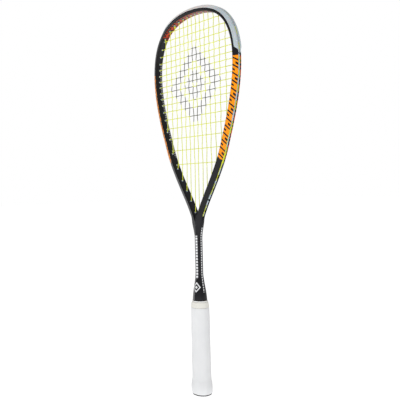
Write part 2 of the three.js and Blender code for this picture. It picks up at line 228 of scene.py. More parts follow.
def half_hoop():
    """The right limb's centre line as (x, z), from the throat to the top, at equal spacing."""
    shoulder = (SHOULDER_X, SHOULDER_Z)
    widest = (HALF_HEAD, WIDEST_Z)
    leg = bezier((3.5, THROAT_Z), (3.5, THROAT_Z + 35), (SHOULDER_X - 19, SHOULDER_Z - 62), shoulder)
    flank = bezier(shoulder, (SHOULDER_X + 8.5, SHOULDER_Z + 26), (HALF_HEAD, WIDEST_Z - 53), widest)
    crown = bezier(widest, (HALF_HEAD, WIDEST_Z + 60.5), (74, TOP_Z), (0, TOP_Z))
    dense = np.concatenate([leg, flank[1:], crown[1:]])
    run = np.concatenate([[0], np.cumsum(np.linalg.norm(np.diff(dense, axis=0), axis=1))])
    stops = np.linspace(0, run[-1], FINE + 1)
    return np.stack([np.interp(stops, run, dense[:, axis]) for axis in (0, 1)], axis=1), run[-1]


LINE, HALF_LENGTH = half_hoop()
STEP = HALF_LENGTH / FINE
ALONG = np.gradient(LINE, axis=0)
ALONG /= np.linalg.norm(ALONG, axis=1)[:, None]
ALONG[0] = (0, 1)
ALONG[-1] = (-1, 0)
OUTWARD = np.stack([ALONG[:, 1], -ALONG[:, 0]], axis=1)


def place_above(z):
    """The first place along the limb that is at least this high."""
    return int(np.argmax(LINE[:, 1] >= z))


def beside(index, rise, depth, side):
    """A point beside the limb's centre line: rise is outward and depth towards the back."""
    x, z = LINE[index] + OUTWARD[index] * rise
    return np.array([side * x, depth, z])


def limb_ring(index, side, section):
    """A section, as (depth, rise) pairs, set square to the limb."""
    return [beside(index, rise, depth, side) for depth, rise in section]


WIDEST = place_above(WIDEST_Z)
BUMPER_END = place_above(587)
WING_FADE = {1: (590, 598), -1: (646, 668)}  # heights over which each side's wing fades in
LEAST_WING = 0.03  # keeps the wing's corners apart where it has faded out
STRIP_END = place_above(405)
GROOVE_END = place_above(319)

# ---------------------------------------------------------------- strings and their sockets


def main_x(number):
    from_middle = int(abs(number - (MAINS + 1) / 2) - 0.5)
    x = 4.95 + sum(10.3 + 0.1 * step**2 for step in range(1, from_middle + 1))
    return x if number > MAINS / 2 else -x


def cross_z(number):
    z = 657.6
    for above in range(1, number):
        z -= 10.8 + (0.07 if above < 8.5 else 0.207) * (8.5 - above) ** 2
    return z


class Socket:
    """The hole at one end of a string. toward is the string's own direction there, as (x, z) on the right."""

    def __init__(self, index, toward, side, lane):
        self.index = index
        self.side = side
        self.lane = lane
        self.wide = False
        self.drill = unit(OUTWARD[index] + DRILL * np.asarray(toward, float))
        self.lean = self.drill @ OUTWARD[index]
        inside = -LIMB_WIDTH / 2 / self.lean
        self.bend = self.place(inside - TIP - 0.9)
        self.mouth = self.place(inside)
        self.tip = self.place(inside - TIP)
        self.seat = self.place((STRIP_TOP - 0.2) / self.lean)
        self.outside = self.place(LOOP_RISE / self.lean)

    def place(self, rise):
        x, z = LINE[self.index] + self.drill * rise
        return np.array([self.side * x, self.lane, z])


def find_socket(axis, value, toward, side, lane, first, last):
    """The socket whose bend lies at this x or z, among the places between two indices."""
    options = [Socket(index, toward, side, lane) for index in range(first, last + 1)]
    best = min(options, key=lambda socket: abs(abs(socket.bend[axis]) - value))
    best.bend[axis] = math.copysign(value, best.bend[axis])
    return best


UP, DOWN, OUT = (0, 1), (0, -1), (1, 0)

MAIN_X = [main_x(number) for number in range(1, MAINS + 1)]
CROSS_Z = [cross_z(number) for number in range(1, CROSSES + 1)]
MAIN_TOP = [find_socket(0, abs(x), UP, math.copysign(1, x), -LANE, WIDEST, FINE) for x in MAIN_X]
MAIN_BOTTOM = [find_socket(0, abs(x), DOWN, math.copysign(1, x), -LANE, 0, WIDEST) for x in MAIN_X]
CROSS_LEFT = [find_socket(2, z, OUT, -1, LANE, 0, FINE) for z in CROSS_Z]
CROSS_RIGHT = [find_socket(2, z, OUT, 1, LANE, 0, FINE) for z in CROSS_Z]
SOCKETS = MAIN_TOP + MAIN_BOTTOM + CROSS_LEFT + CROSS_RIGHT

# The cross string's first end is tied off through this main string's top hole.
ANCHOR = MAIN_TOP[2]
ANCHOR.wide = True

WEAVE = 0.52  # how far a string passes in front of or behind the string plane
WEAVE_STEPS = 5
BEND_SETBACK = 1.7  # where a string's bend starts, before its corner


def limb_line(start, end, rise, depth, side, spacing):
    """Points along the limb on one side, from one place to another."""
    count = max(1, round(abs(end - start) * STEP / spacing))
    stops = [round(start + (end - start) * step / count) for step in range(count + 1)]
    return [beside(stop, rise, depth, side) for stop in stops]


def groove_between(start, end, lane, side):
    """The stretch of groove between two places, without its ends."""
    if abs(end - start) < 14:
        return []
    inward = 5 if end > start else -5
    return limb_line(start + inward, end - inward, LOOP_RISE, lane, side, 3)


def loop(start, end):
    """The string's way from one socket to the next, through the groove."""
    if start.side == end.side:
        middle = groove_between(start.index, end.index, start.lane, start.side)
    else:
        rise = groove_between(start.index, FINE + 5, start.lane, start.side)
        fall = groove_between(end.index, FINE + 5, end.lane, end.side)
        middle = [*rise, *fall[::-1][1:]]
    return [start.bend, start.outside, *middle, end.outside, end.bend]


def woven(knots):
    """A line through knots whose depth eases from each one to the next."""
    line = []
    for start, end in zip(knots, knots[1:]):
        for step in range(WEAVE_STEPS):
            share = step / WEAVE_STEPS
            point = start + (end - start) * share
            point[1] = start[1] + (end[1] - start[1]) * (1 - math.cos(math.pi * share)) / 2
            line.append(point)
    return line[1:]


def crossing_depth(main, cross):
    """How far behind the string plane a main string passes a cross string, which is as far in front."""
    return WEAVE if (main + cross) % 2 else -WEAVE


def main_span(main):
    """A main string's stretch inside the hoop, from its top bend to its bottom one."""
    x = MAIN_X[main]
    top, bottom = MAIN_TOP[main].bend, MAIN_BOTTOM[main].bend
    knots = [top]
    for cross, z in enumerate(CROSS_Z):
        if bottom[2] + 2 < z < top[2] - 2 and abs(x) < CROSS_RIGHT[cross].bend[0] - 2:
            knots.append(np.array([x, crossing_depth(main, cross), z]))
    return woven([*knots, bottom])


def cross_span(cross):
    """A cross string's stretch inside the hoop, from its left bend to its right one."""
    z = CROSS_Z[cross]
    knots = [CROSS_LEFT[cross].bend]
    for main, x in enumerate(MAIN_X):
        within = MAIN_BOTTOM[main].bend[2] + 2 < z < MAIN_TOP[main].bend[2] - 2
        if within and abs(x) < CROSS_RIGHT[cross].bend[0] - 2:
            knots.append(np.array([x, -crossing_depth(main, cross), z]))
    return woven([*knots, CROSS_RIGHT[cross].bend])


def main_tail(socket, passed, last):
    """The string's end: down the groove, beside the loop that ends at one hole, to another hole."""
    turn = passed.index - 12
    upper = groove_between(socket.index, turn, -TAIL_LANE, socket.side)
    return [socket.bend, socket.outside, *upper, *groove_between(turn, last.index, -LANE, socket.side)]


def main_route():
    line = main_tail(MAIN_BOTTOM[0], MAIN_BOTTOM[2], MAIN_BOTTOM[3])[::-1]
    line += main_span(0)[::-1]
    for main in range(MAINS - 1):
        at_top = main % 2 == 0
        sockets = MAIN_TOP if at_top else MAIN_BOTTOM
        line += loop(sockets[main], sockets[main + 1])
        line += main_span(main + 1) if at_top else main_span(main + 1)[::-1]
    line += main_tail(MAIN_BOTTOM[-1], MAIN_BOTTOM[-3], MAIN_BOTTOM[-4])
    return line


def cross_route():
    first, last = CROSS_LEFT[0], CROSS_LEFT[-1]
    start, exit_hole = ANCHOR.bend.copy(), ANCHOR.outside.copy()
    start[1] = exit_hole[1] = LANE
    line = [start, exit_hole, *groove_between(ANCHOR.index, first.index, LANE, -1), first.outside, first.bend]
    line += cross_span(0)
    for cross in range(CROSSES - 1):
        at_right = cross % 2 == 0
        sockets = CROSS_RIGHT if at_right else CROSS_LEFT
        line += loop(sockets[cross], sockets[cross + 1])
        line += cross_span(cross + 1)[::-1] if at_right else cross_span(cross + 1)
    line += [last.bend, last.outside, *groove_between(last.index, last.index - 20, last.lane, last.side)]
    return line


def tube(line, radius, sides):
    """A round tube along a line, with how far along it each point is."""
    moved = [True, *(np.linalg.norm(after - before) > 0.02 for before, after in zip(line, line[1:]))]
    points = np.array(line)[moved]
    steps = np.diff(points, axis=0)
    lengths = np.linalg.norm(steps, axis=1)
    directions = steps / lengths[:, None]
    tangents = np.concatenate([directions[:1], directions[:-1] + directions[1:], directions[-1:]])
    normal = np.cross(tangents[0], (0.3, 0.9, 0.2))
    angles = np.arange(sides) * 2 * math.pi / sides
    rings = []
    for point, tangent in zip(points, tangents):
        tangent = unit(tangent)
        normal = unit(normal - tangent * (normal @ tangent))
        across = np.cross(tangent, normal)
        rings.append(point + radius * (np.outer(np.cos(angles), normal) + np.outer(np.sin(angles), across)))
    run = np.concatenate([[0], np.cumsum(lengths)])
    return skin(rings), np.repeat(run, sides)


def tie_off_knot():
    """Turns of the cross string's end round the main string beside its grommet, with a short stub."""
    centre = ANCHOR.bend + np.array([0, 0.9, -1.2])
    turns = [
        centre + np.array([1.05 * math.cos(angle), 0.95 * math.sin(angle), 0.55 - 0.19 * angle / 2])
        for angle in np.linspace(0, 5.2 * math.pi, 60)
    ]
    stub = [turns[-1] + np.array([0.5, 0.3, -0.6]) * step for step in (0.6, 1.4, 2.2)]
    return tube(turns + stub, STRING_RADIUS * 0.9, 10)


# ---------------------------------------------------------------- frame

SECTION_HALF = [
    (0, -LIMB_WIDTH / 2),
    (INNER_DEPTH / 2 - 3.2, -LIMB_WIDTH / 2),
    (INNER_DEPTH / 2 - 0.9, -LIMB_WIDTH / 2 + 0.3),
    (INNER_DEPTH / 2, -LIMB_WIDTH / 2 + 1.4),
    (OUTER_DEPTH / 2 + 0.4, LIMB_WIDTH / 2 - 0.9),
    (OUTER_DEPTH / 2 - 0.3, LIMB_WIDTH / 2),
    (GROOVE_WIDTH / 2, LIMB_WIDTH / 2),
    (GROOVE_WIDTH / 2, FLOOR),
    (0, FLOOR),
]


def both_halves(half):
    """The whole closed section, front half first, from one that starts and ends on the middle line."""
    front = [(-depth, rise) for depth, rise in half]
    back = [(depth, rise) for depth, rise in half[-2:0:-1]]
    return np.array(front + back)


OUTLINE = np.array(rounded(SECTION_HALF, 0.5, 4))
OUTLINE_ARC = np.concatenate([[0], np.cumsum(np.linalg.norm(np.diff(OUTLINE, axis=0), axis=1))])
EDGE = int(np.argmax(OUTLINE[:, 0]))
RIM = int(np.argmax(OUTLINE[:, 1] >= LIMB_WIDTH / 2 - 1e-6))
FACET_START = OUTLINE_ARC[EDGE]
FACET_END = OUTLINE_ARC[RIM]
FACET_SLOPE = (INNER_DEPTH - OUTER_DEPTH - 0.8) / 2 / (LIMB_WIDTH - 2.3)


def shaft_size(z):
    """Half width and half depth of the shaft at a height."""
    cone = (CONE_RADIUS - SHAFT_RADIUS) * (1 - smoothstep(z, HANDLE_TOP - 2, 220))
    cone = np.where(z < HANDLE_TOP - 0.005, 0, cone)
    throat = THROAT_FLARE * smoothstep(z, 278, SHAFT_TOP + 4)
    return SHAFT_RADIUS + cone + throat, SHAFT_RADIUS + cone + throat * 0.12


def shaft_target():
    """Where each of the section's points goes on half of the shaft, as shares of its half sizes."""
    swing = np.arctan2(OUTLINE[:, 1] - OUTLINE[EDGE, 1], OUTLINE[:, 0])
    rest = (OUTLINE_ARC - OUTLINE_ARC[RIM]) / (OUTLINE_ARC[-1] - OUTLINE_ARC[RIM])
    swing = np.where(OUTLINE_ARC > OUTLINE_ARC[RIM], swing[RIM] + rest * (math.pi / 2 - swing[RIM]), swing)
    inner = np.arange(len(OUTLINE)) <= EDGE
    width = np.where(inner, 0, np.sin(swing))
    depth = np.where(inner, OUTLINE_ARC / OUTLINE_ARC[EDGE], np.cos(swing))
    return both_halves(list(zip(depth, width)))


def frame_rows():
    """Centre, outward direction and place along the limb of every ring, from the top to the shaft's foot."""
    rows = [(*LINE[index], *OUTWARD[index], index * STEP) for index in range(FINE, -1, -1)]
    heights = [*np.arange(THROAT_Z - 3, 224, -3), *np.arange(224, HANDLE_TOP + 1, -1.5)]
    heights += [HANDLE_TOP + 0.3, HANDLE_TOP, HANDLE_TOP - 0.01, 150, SHAFT_BOTTOM]
    rows += [(LINE[0, 0], z, 1, 0, z - THROAT_Z) for z in heights]
    return np.array(rows)


def right_half_frame():
    """The right limb and the right half of the shaft: one surface, open down the middle."""
    rows = frame_rows()
    centre_x, centre_z, out_x, out_z, along = (rows[:, column, None] for column in range(5))
    section, target = both_halves(OUTLINE), shaft_target()
    depth, rise = section[None, :, 0], section[None, :, 1]
    groove = smoothstep(centre_z, CROTCH_Z, CROTCH_Z + 5)
    is_outer = np.array([min(column, len(section) - column) for column in range(len(section))])
    grooved = (is_outer >= RIM)[None, :]
    rise = np.where(grooved, LIMB_WIDTH / 2 - (LIMB_WIDTH / 2 - rise) * groove, rise)
    leg_x = np.maximum(centre_x + out_x * rise, 0)
    z = centre_z + out_z * rise
    half_width, half_depth = shaft_size(z)
    become_shaft = 1 - smoothstep(centre_z, CROTCH_Z - 7, CROTCH_Z + 15)

    web = 6.5
    above = np.clip(z - CROTCH_Z + 2.5 * (depth / INNER_DEPTH * 2) ** 2, 0, web)
    opening = np.sqrt(above * (2 * web - above)) / web
    outer_x = leg_x + (half_width * target[None, :, 1] - leg_x) * become_shaft
    x = np.where((is_outer <= EDGE)[None, :], leg_x * opening, outer_x)
    y = depth + (half_depth * target[None, :, 0] - depth) * become_shaft
    rings = np.stack([x, y, z], axis=2)
    rings[0, :, 0] = 0
    arc = np.concatenate([OUTLINE_ARC, OUTLINE_ARC[-2:0:-1]])
    return rings, np.broadcast_to(along, x.shape), np.broadcast_to(arc[None, :], x.shape)


def nearest_mouth(points):
    """How far each point is from the nearest grommet, where 1 is the edge of the dark oval around it."""
    nearest = np.full(len(points), 9.0)
    for socket in SOCKETS:
        if socket.side < 0:
            continue
        offset = points - socket.mouth
        tangent = np.array([ALONG[socket.index, 0], 0, ALONG[socket.index, 1]])
        distance = np.hypot(offset @ tangent / 3.9, (points[:, 1] - socket.mouth[1]) / 2.9)
        nearest = np.minimum(nearest, distance)
    return nearest


def close_middle(work):
    """Takes away the walls in the middle of the shaft and joins the two halves there."""
    walls = [face for face in work.faces if all(abs(vertex.co.x) < 1e-7 for vertex in face.verts)]
    bmesh.ops.delete(work, geom=walls, context="FACES")
    middle = [vertex for vertex in work.verts if abs(vertex.co.x) < 1e-7]
    bmesh.ops.remove_doubles(work, verts=middle, dist=1e-6)
    bmesh.ops.holes_fill(work, edges=[edge for edge in work.edges if edge.is_boundary], sides=0)


def add_frame():
    rings, along, arc = right_half_frame()
    right = skin(rings, caps=False)
    left = (right[0] * (-1, 1, 1), [face[::-1] for face in right[1]])
    mouths = nearest_mouth(right[0])
    values = {
        "along": np.tile(along.reshape(-1), 2),
        "arc": np.tile(arc.reshape(-1), 2),
        "mouth": np.tile(mouths, 2),
    }
    surface = merged([right, left])
    add_piece("frame_shell", surface, lacquer(), ["frame"], close_middle, values)


# ---------------------------------------------------------------- grommets and bumper guard


def barrel(socket):
    """A grommet's barrel through the limb, with a rounded mouth on the inside."""
    outer, inner = (2.35, 1.9) if socket.wide else (1.5, 1.0)
    lane = 0 if socket.wide else socket.lane
    axis = unit(socket.tip - socket.seat)
    across = np.cross(axis, (0, 1, 0))
    length = np.linalg.norm(socket.tip - socket.seat)
    profile = rounded([(inner, 0), (outer, 0), (outer, length), (inner, length)], 0.22, 3, closed=True)
    origin = np.array([socket.seat[0], lane, socket.seat[2]])
    angles = np.arange(16) * math.pi / 8
    rings = []
    for radius, height in profile:
        circle = np.outer(np.cos(angles), across) + np.outer(np.sin(angles), (0, 1, 0))
        rings.append(origin + axis * height + radius * circle)
    return skin(rings, looped=True)


def strip_section():
    edge = GROOVE_WIDTH / 2 - 0.4
    half = [(0, FLOOR + GAP), (edge, FLOOR + GAP), (edge, STRIP_TOP), (0, STRIP_TOP)]
    return both_halves(rounded(half, 0.25, 3))


def strip(start, end, side):
    section = strip_section()
    return skin([limb_ring(index, side, section) for index in range(start, end + 1)])


def bumper_section(wing, reach):
    """The bumper guard's section. wing goes from 0, inside the groove only, to 1, down both facets.
    reach is how far down the facets its edges lie."""
    inside = LIMB_WIDTH / 2 + 0.5
    low = 2.3 - 2.4 * reach

    def spread(depth, rise):
        return 3.0 + (depth - 3.0) * wing, inside + (rise - inside) * wing

    half = [
        (0, FLOOR + GAP),
        (GROOVE_WIDTH / 2 - 0.3, FLOOR + GAP),
        (GROOVE_WIDTH / 2 - 0.3, LIMB_WIDTH / 2 + GAP),
        spread(OUTER_DEPTH / 2 + 0.1, LIMB_WIDTH / 2 + GAP),
        spread(OUTER_DEPTH / 2 + 0.9, LIMB_WIDTH / 2 - 0.9),
        spread(OUTER_DEPTH / 2 + 3.1 - (low + 0.1) * FACET_SLOPE, low),
        spread(OUTER_DEPTH / 2 + 3.8 - (low + 0.1) * FACET_SLOPE, low + 0.4),
        spread(OUTER_DEPTH / 2 + 1.2, LIMB_WIDTH / 2 + 0.6),
        (OUTER_DEPTH / 2 - 0.2 - 0.9 * (1 - wing), BUMPER_RISE - 0.5 * (1 - wing)),
        (GROOVE_WIDTH / 2 - 1, BUMPER_RISE - 0.5 * (1 - wing)),
        (GROOVE_WIDTH / 2 - 1, STRIP_TOP),
        (0, STRIP_TOP),
    ]
    return both_halves(rounded(half, 0.4, 3))


def bumper_body():
    places = [(index, 1) for index in range(BUMPER_END, FINE + 1)]
    places += [(index, -1) for index in range(FINE - 1, BUMPER_END - 1, -1)]
    rings = []
    for index, side in places:
        wing = LEAST_WING + (1 - LEAST_WING) * smoothstep(LINE[index, 1], *WING_FADE[side])
        reach = smoothstep(side * LINE[index, 0], -40, 70)
        rings.append(limb_ring(index, side, bumper_section(wing, reach)))
    return skin(rings)


def add_grommets():
    nylon = grommet_nylon()
    guard = merged([bumper_body(), *[barrel(socket) for socket in SOCKETS if socket.index > BUMPER_END]])
    add_piece("bumper_guard_shell", guard, bumper_nylon(), ["bumper_guard"])
    for name, side in (("left", -1), ("right", 1)):
        own = [s for s in SOCKETS if s.side == side and STRIP_END < s.index < BUMPER_END]
        body = merged([strip(STRIP_END, BUMPER_END - 2, side), *[barrel(socket) for socket in own]])
        node = f"grommet_strip_{name}"
        add_piece(f"{node}_moulded", body, nylon, [node])
    throat = [socket for socket in MAIN_BOTTOM if socket.index < STRIP_END]
    for order, socket in enumerate(throat, start=1):
        lower = max(socket.index - 14, GROOVE_END)
        upper = min(socket.index + 9, STRIP_END - 3)
        body = merged([strip(lower, upper, socket.side), barrel(socket)])
        node = f"throat_grommet_{order}"
        add_piece(f"{node}_moulded", body, nylon, [node])


def add_strings():
    string = lime_string()
    surface, along = tube(rounded(main_route(), BEND_SETBACK, 4, least_turn=0.35), STRING_RADIUS, 10)
    add_piece("main_string_run", surface, string, ["main_string"], values={"along": along})
    surface, along = tube(rounded(cross_route(), BEND_SETBACK, 4, least_turn=0.35), STRING_RADIUS, 10)
    knot, knot_along = tie_off_knot()
    values = {"along": np.concatenate([along, knot_along])}
    add_piece("cross_string_run", merged([surface, knot]), string, ["cross_string"], values=values)


# ---------------------------------------------------------------- handle


def octagon_ring(half_width, z, rounding):
    """An eight-sided ring with rounded corners. rounding is the rounded share of each side's half."""
    reach = half_width / math.cos(math.pi / 8)
    turns = [math.pi / 8 + math.pi / 4 * corner for corner in range(8)]
    corners = [(reach * math.cos(turn), reach * HANDLE_FLATNESS * math.sin(turn)) for turn in turns]
    side = 2 * half_width * math.tan(math.pi / 8)
    return [(x, y, z) for x, y in rounded(corners, side * rounding / 2, 6, closed=True)]


def turned(profile, rounding, looped):
    """A surface through eight-sided rings. The profile holds (half width, height) pairs."""
    rings = [octagon_ring(max(half_width, 0.01), z, rounding) for half_width, z in profile]
    return skin(rings, caps=not looped, looped=looped)


def wrapped(surface, amount, spacing):
    """Small uneven swells, as in hand-wrapped film."""
    points, faces = surface
    swell = [noise.noise(Vector(point) / spacing) * amount for point in points]
    radial = points * (1, 1, 0)
    radial /= np.linalg.norm(radial, axis=1)[:, None]
    return points + radial * np.array(swell)[:, None], faces


def add_handle():
    cap_top = top_of("butt_cap")
    grip_top = top_of("grip")
    collar_top = top_of("grip_collar")

    flare = [(19.2, 2.3), (19.9, 4.5), (20.55, 10), (20.45, 15.5), (19.4, 23.5), (18.4, 31)]
    hold = [(18.35, 60), (18, 98), (18.1, 130), (17.6, grip_top - 4.7), (17.3, grip_top)]
    outer = through([*flare, *hold], 9)
    inner = [(PALLET_HALF - 0.35, grip_top), (PALLET_HALF + GAP, grip_top - 3.9)]
    inner += [(PALLET_HALF + GAP, cap_top + 3), (16.7, cap_top + 0.2), (18.9, 16.4), (19.1, 10), (18.2, 2.2)]
    grip_profile = rounded([*outer, *inner], 0.35, 3, least_turn=0.6, closed=True)
    grip = wrapped(turned(grip_profile, 0.72, looped=True), 0.16, 19)
    grip_piece = add_piece("grip_wrap", grip, grip_film(), ["grip"])

    collar = [(PALLET_HALF - 0.4, grip_top + GAP), (17.2, grip_top + GAP), (17.6, grip_top + 1.3)]
    collar += [(16.1, collar_top - 1.2), (15.3, collar_top), (PALLET_HALF - 1.9, collar_top)]
    collar += [(PALLET_HALF - 1.7, grip_top + 6.5)]
    collar = turned(rounded(collar, 0.6, 4, closed=True), 0.8, looped=True)
    add_piece("grip_collar_band", collar, collar_rubber(), ["grip_collar"])

    tape = [(PALLET_HALF - 2, collar_top + GAP), (15.1, collar_top + GAP), (14.8, HANDLE_TOP - GAP)]
    tape += [(PALLET_HALF - 2.1, HANDLE_TOP - GAP)]
    tape = turned(rounded(tape, 0.35, 3, closed=True), 0.85, looped=True)
    add_piece("finishing_tape_turns", tape, white_tape(), ["finishing_tape"])

    cap = [(0, 0), (17.8, 0), (18.8, 0.7), (18.8, 1.5), (17.8, 2), (18.9, 10), (18.6, 16), (16.3, cap_top)]
    cap += [(PALLET_HALF - 1.3, cap_top), (PALLET_HALF - 1.3, 3.2), (0, 3.2)]
    cap = turned(rounded(cap, 0.3, 3), 0.7, looped=False)
    add_piece("butt_cap_moulded", cap, cap_plastic(), ["butt_cap"])

    pallet = [(0, 3.5), (PALLET_HALF - 1.6, 3.5), (PALLET_HALF - 1.6, cap_top + GAP)]
    pallet += [(PALLET_HALF, cap_top + GAP), (PALLET_HALF, grip_top - 3.7), (PALLET_HALF - 2, grip_top + 6.3)]
    pallet += [(PALLET_HALF - 2.4, HANDLE_TOP - GAP)]
    pallet += [(SHAFT_RADIUS + GAP, HANDLE_TOP - GAP)]
    pallet = turned(rounded(pallet, 0.6, 3), 0.4, looped=False)
    add_piece("handle_pallet_foam", pallet, pallet_foam(), ["handle_pallet"])


# ---------------------------------------------------------------- materials


class Shader:
    """A material with one Principled shader, and short calls for the nodes that feed it."""

    def __init__(self, name, **constants):
        self.material = bpy.data.materials.new(name)
        self.material.use_nodes = True
        self.tree = self.material.node_tree
        self.tree.nodes.clear()
        self.surface = self.add("ShaderNodeBsdfPrincipled")
        output = self.add("ShaderNodeOutputMaterial")
        self.tree.links.new(self.surface.outputs["BSDF"], output.inputs["Surface"])
        for key, value in constants.items():
            self.surface.inputs[key.replace("_", " ")].default_value = value

    def add(self, kind, **settings):
        node = self.tree.nodes.new(kind)
        for key, value in settings.items():
            setattr(node, key, value)
        return node

    def put(self, socket, value):
        """Links an output to a socket, or sets the socket's own value."""
        if isinstance(value, bpy.types.NodeSocket):
            self.tree.links.new(value, socket)
        else:
            socket.default_value = value

    def math(self, operation, *values):
        node = self.add("ShaderNodeMath", operation=operation)
        for socket, value in zip(node.inputs, values):
            self.put(socket, value)
        return node.outputs["Value"]

    def product(self, *values):
        result = values[0]
        for value in values[1:]:
            result = self.math("MULTIPLY", result, value)
        return result

    def attribute(self, name):
        return self.add("ShaderNodeAttribute", attribute_name=name).outputs["Fac"]

    def coordinates(self):
        """Object coordinates in millimetres: the vector, then x, y and z."""
        scale = self.add("ShaderNodeVectorMath", operation="SCALE")
        self.put(scale.inputs["Vector"], self.add("ShaderNodeTexCoord").outputs["Object"])
        scale.inputs["Scale"].default_value = 1 / MM
        split = self.add("ShaderNodeSeparateXYZ")
        self.put(split.inputs["Vector"], scale.outputs["Vector"])
        return scale.outputs["Vector"], *split.outputs

    def above(self, value, level, soft):
        """0 below a level and 1 above it, turning over a soft width."""
        node = self.add("ShaderNodeMapRange", interpolation_type="SMOOTHSTEP")
        self.put(node.inputs["Value"], value)
        node.inputs["From Min"].default_value = level - soft / 2
        node.inputs["From Max"].default_value = level + soft / 2
        return node.outputs["Result"]

    def below(self, value, level, soft):
        return self.math("SUBTRACT", 1.0, self.above(value, level, soft))

    def between(self, value, low, high, soft):
        return self.product(self.above(value, low, soft), self.below(value, high, soft))

    def saw(self, value, period):
        """How far a value is into its period, in the value's own unit."""
        return self.math("MULTIPLY", self.math("FRACT", self.math("DIVIDE", value, period)), period)

    def noise(self, vector, size, detail=2.0):
        """Noise from 0 to 1 with features of about this size in the vector's unit."""
        node = self.add("ShaderNodeTexNoise")
        self.put(node.inputs["Vector"], vector)
        node.inputs["Scale"].default_value = 1 / size
        node.inputs["Detail"].default_value = detail
        return node.outputs["Fac"]

    def range(self, value, low, high):
        """A value from 0 to 1, spread from low to high."""
        return self.math("MULTIPLY_ADD", value, high - low, low)

    def mix(self, share, first, second):
        node = self.add("ShaderNodeMix", data_type="RGBA")
        colour_inputs = [socket for socket in node.inputs if socket.type == "RGBA"]
        self.put(node.inputs["Factor"], share)
        self.put(colour_inputs[0], first)
        self.put(colour_inputs[1], second)
        return next(socket for socket in node.outputs if socket.type == "RGBA")

    def bump(self, height, distance, strength=1.0):
        """Bump from a height from 0 to 1 that stands for this many millimetres."""
        node = self.add("ShaderNodeBump")
        node.inputs["Strength"].default_value = strength
        node.inputs["Distance"].default_value = distance * MM
        self.put(node.inputs["Height"], height)
        self.put(self.surface.inputs["Normal"], node.outputs["Normal"])

    def set(self, name, value):
        self.put(self.surface.inputs[name], value)


def linear(part):
    """One part of an sRGB colour, 0 to 255, in linear light."""
    return ((part / 255 + 0.055) / 1.055) ** 2.4 if part > 10 else part / 3295


def rgb(red, green, blue):
    """An sRGB colour, 0 to 255, as the linear one that a shader takes."""
    return (linear(red), linear(green), linear(blue), 1.0)


BARS = (416, 582)  # heights of the blocks on the facets
BAR_PERIOD = 24.8
CROWN_FROM = 650  # the height above which the inner face is red
OVAL_SPACING = 6.4
TICKS = (424, 606)  # heights of the ticks on the inner face
TICK_PERIOD = 4.3


def facet_bars(shader, along, arc):
    """Slanted blocks with dark gaps and notches, on the front and back facets."""
    middle = (FACET_START + FACET_END) / 2
    on_facet = shader.between(arc, FACET_START + 0.2, FACET_END + 0.9, 0.25)
    slanted = shader.math("MULTIPLY_ADD", arc, 0.55, along)
    block = shader.saw(slanted, BAR_PERIOD)
    first = shader.between(block, 1.6, 10.8, 0.3)
    second = shader.between(block, 13.6, 23.6, 0.3)
    blocks = shader.math("MAXIMUM", first, second)
    outer_notch = shader.product(shader.between(block, 4.2, 8.0, 0.3), shader.above(arc, middle, 0.3))
    inner_notch = shader.product(shader.between(block, 16.8, 20.0, 0.3), shader.below(arc, middle - 0.6, 0.3))
    notches = shader.math("MAXIMUM", outer_notch, inner_notch)
    stretch = shader.between(along, *(place_above(z) * STEP for z in BARS), 0.3)
    return shader.product(on_facet, blocks, shader.math("SUBTRACT", 1.0, notches), stretch)


def row_of_ovals(shader, along, y, shift, row_y):
    """Dark ovals in a row along the inner face."""
    across = shader.math("DIVIDE", shader.math("SUBTRACT", y, row_y), 2.0)
    phase = shader.saw(shader.math("ADD", along, shift), OVAL_SPACING)
    lengthwise = shader.math("DIVIDE", shader.math("SUBTRACT", phase, OVAL_SPACING / 2), 2.7)
    radius = shader.math("ADD", shader.math("POWER", across, 2.0), shader.math("POWER", lengthwise, 2.0))
    return shader.below(radius, 1.0, 0.3)


def crown_panel(shader, along, arc, mouth, y):
    """The red panel along the inner face over the top, less the dark ovals in it and around its grommets."""
    inner_face = shader.product(shader.below(arc, FACET_START - 0.9, 0.3), shader.above(y, -6.3, 0.3))
    front = row_of_ovals(shader, along, y, 0, -4.0)
    back = row_of_ovals(shader, along, y, OVAL_SPACING / 2, 4.0)
    ovals = shader.math("MAXIMUM", shader.below(mouth, 1.1, 0.12), shader.math("MAXIMUM", front, back))
    stretch = shader.above(along, place_above(CROWN_FROM) * STEP, 0.4)
    return shader.product(inner_face, stretch, shader.math("SUBTRACT", 1.0, ovals))


def limb_ticks(shader, along, y):
    """A band of fine grey ticks along the middle of each limb's inner face, behind its grommets."""
    tick = shader.between(shader.saw(along, TICK_PERIOD), 0.8, 3.3, 0.3)
    band = shader.between(y, 2.8, 6.2, 0.3)
    stretch = shader.between(along, *(place_above(z) * STEP for z in TICKS), 1.0)
    return shader.product(tick, band, stretch)


def facing(shader, x, y, azimuth):
    """How far sideways a point is from a direction round the shaft, and 1 on the side that faces it."""
    cosine, sine = math.cos(math.radians(azimuth)), math.sin(math.radians(azimuth))
    sideways = shader.math("MULTIPLY_ADD", x, cosine, shader.math("MULTIPLY", y, sine))
    ahead = shader.math("MULTIPLY_ADD", x, sine, shader.math("MULTIPLY", y, -cosine))
    return shader.math("ABSOLUTE", sideways), shader.above(ahead, 3.0, 0.5)


